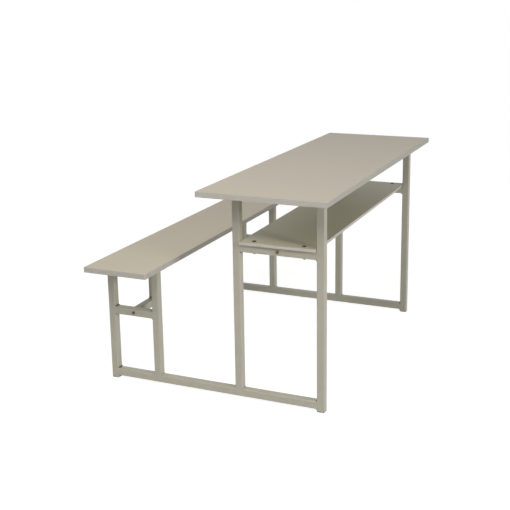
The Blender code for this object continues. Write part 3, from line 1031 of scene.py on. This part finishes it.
class DESK_OT_set_stage(bpy.types.Operator):
    """Set the floor, the sky, the lamps and the camera"""

    bl_idname = "desk.set_stage"
    bl_label = "Set stage"

    def execute(self, context):
        settings = context.scene.desk_stage
        self.lay_floor(settings)
        self.light_sky(context.scene, settings)
        for name in ("near", "front", "knee"):
            colour, power, place = (
                getattr(settings, name + value) for value in ("_colour", "_power", "_place")
            )
            self.hang_lamp(name + "_lamp", colour, power, Vector(place), settings.lamp_width)
        self.place_camera(context.scene, settings)
        context.scene.view_settings.view_transform = "Standard"
        return {"FINISHED"}

    def lay_floor(self, settings):
        """Lays the square floor of studio paper."""
        cells = 4
        shape = bmesh.new()
        half = settings.floor_width / 2
        bmesh.ops.create_grid(shape, x_segments=cells, y_segments=cells, size=half)
        mesh = bpy.data.meshes.new("floor")
        shape.to_mesh(mesh)
        shape.free()
        mesh.materials.append(studio_paper(settings))
        floor = bpy.data.objects.new("floor", mesh)
        bpy.context.scene.collection.objects.link(floor)

    def light_sky(self, scene, settings):
        """Lights the desk softly from all round, before a background of plain white."""
        world = bpy.data.worlds.new("soft_sky")
        world.use_nodes = True
        world.node_tree.nodes.clear()
        place = add_node(world, "ShaderNodeTexCoord").outputs["Generated"]
        direction = add_node(world, "ShaderNodeSeparateXYZ", {"Vector": place})
        height = add_node(
            world,
            "ShaderNodeMapRange",
            {
                "Value": direction.outputs["Z"],
                "To Min": settings.horizon_strength,
                "To Max": settings.zenith_strength,
            },
        )
        light = add_node(
            world,
            "ShaderNodeBackground",
            {"Color": opaque(settings.sky_colour), "Strength": height.outputs["Result"]},
        )
        white = add_node(world, "ShaderNodeBackground", {"Color": WHITE, "Strength": 1.0})
        pick = add_node(
            world,
            "ShaderNodeMixShader",
            {
                0: background_rays(world),
                1: light.outputs["Background"],
                2: white.outputs["Background"],
            },
        )
        add_node(world, "ShaderNodeOutputWorld", {"Surface": pick.outputs["Shader"]})
        scene.world = world

    def hang_lamp(self, name, colour, power, place, width):
        """Hangs a square lamp that points at the middle of the desk."""
        light = bpy.data.lights.new(name, "AREA")
        light.color = colour
        light.energy = power
        light.size = width
        lamp = bpy.data.objects.new(name, light)
        lamp.location = place
        low, high = CAD_BOX
        aim = (low + high) / 2 - place
        lamp.rotation_euler = aim.to_track_quat("-Z", "Y").to_euler()
        bpy.context.scene.collection.objects.link(lamp)

    def place_camera(self, scene, settings):
        """Places the camera where the photograph was taken from."""
        heading, tilt = settings.heading, settings.tilt
        forward = Vector(
            (
                math.cos(heading) * math.cos(tilt),
                math.sin(heading) * math.cos(tilt),
                -math.sin(tilt),
            )
        )
        level = Vector((math.sin(heading), -math.cos(heading), 0.0))
        right = Matrix.Rotation(settings.roll, 3, forward) @ level
        lens = bpy.data.cameras.new("camera")
        lens.lens = settings.focal_length
        lens.sensor_width = SENSOR_WIDTH
        lens.shift_x, lens.shift_y = settings.shift
        camera = bpy.data.objects.new("camera", lens)
        turn = Matrix((right, right.cross(forward), forward * -1)).transposed()
        camera.matrix_world = Matrix.Translation(settings.camera_place) @ turn.to_4x4()
        bpy.context.scene.collection.objects.link(camera)
        scene.camera = camera


class DESK_PT_panel(bpy.types.Panel):
    """Steps and settings of the school desk"""

    bl_idname = "DESK_PT_panel"
    bl_label = "School desk"
    bl_space_type = "VIEW_3D"
    bl_region_type = "UI"
    bl_category = "School desk"

    def draw(self, context):
        layout = self.layout
        for operator in OPERATORS:
            layout.operator(operator.bl_idname)
        for name in SETTINGS:
            group = getattr(context.scene, name)
            box = layout.box()
            for setting in group.__annotations__:
                box.prop(group, setting)


OPERATORS = (
    DESK_OT_finish_boards,
    DESK_OT_finish_frame,
    DESK_OT_finish_feet,
    DESK_OT_finish_fasteners,
    DESK_OT_make_frame_welds,
    DESK_OT_make_bracket_welds,
    DESK_OT_make_plugs,
    DESK_OT_make_washers,
    DESK_OT_set_stage,
)
SETTINGS = {
    "desk_boards": BoardSettings,
    "desk_frame": FrameSettings,
    "desk_fasteners": FastenerSettings,
    "desk_stage": StageSettings,
}
CLASSES = (*SETTINGS.values(), *OPERATORS, DESK_PT_panel)


def register():
    """Adds the classes and the scene's settings."""
    for entry in CLASSES:
        bpy.utils.register_class(entry)
    for name, group in SETTINGS.items():
        setattr(bpy.types.Scene, name, bpy.props.PointerProperty(type=group))


def unregister():
    """Removes the settings and the classes."""
    for name in SETTINGS:
        delattr(bpy.types.Scene, name)
    for entry in reversed(CLASSES):
        bpy.utils.unregister_class(entry)


def main():
    """Dresses the desk and sets its stage."""
    register()
    bpy.ops.desk.finish_boards()
    bpy.ops.desk.finish_frame()
    bpy.ops.desk.finish_feet()
    bpy.ops.desk.finish_fasteners()
    bpy.ops.desk.make_frame_welds()
    bpy.ops.desk.make_bracket_welds()
    bpy.ops.desk.make_plugs()
    bpy.ops.desk.make_washers()
    bpy.ops.desk.set_stage()


if __name__ == "__main__":
    main()
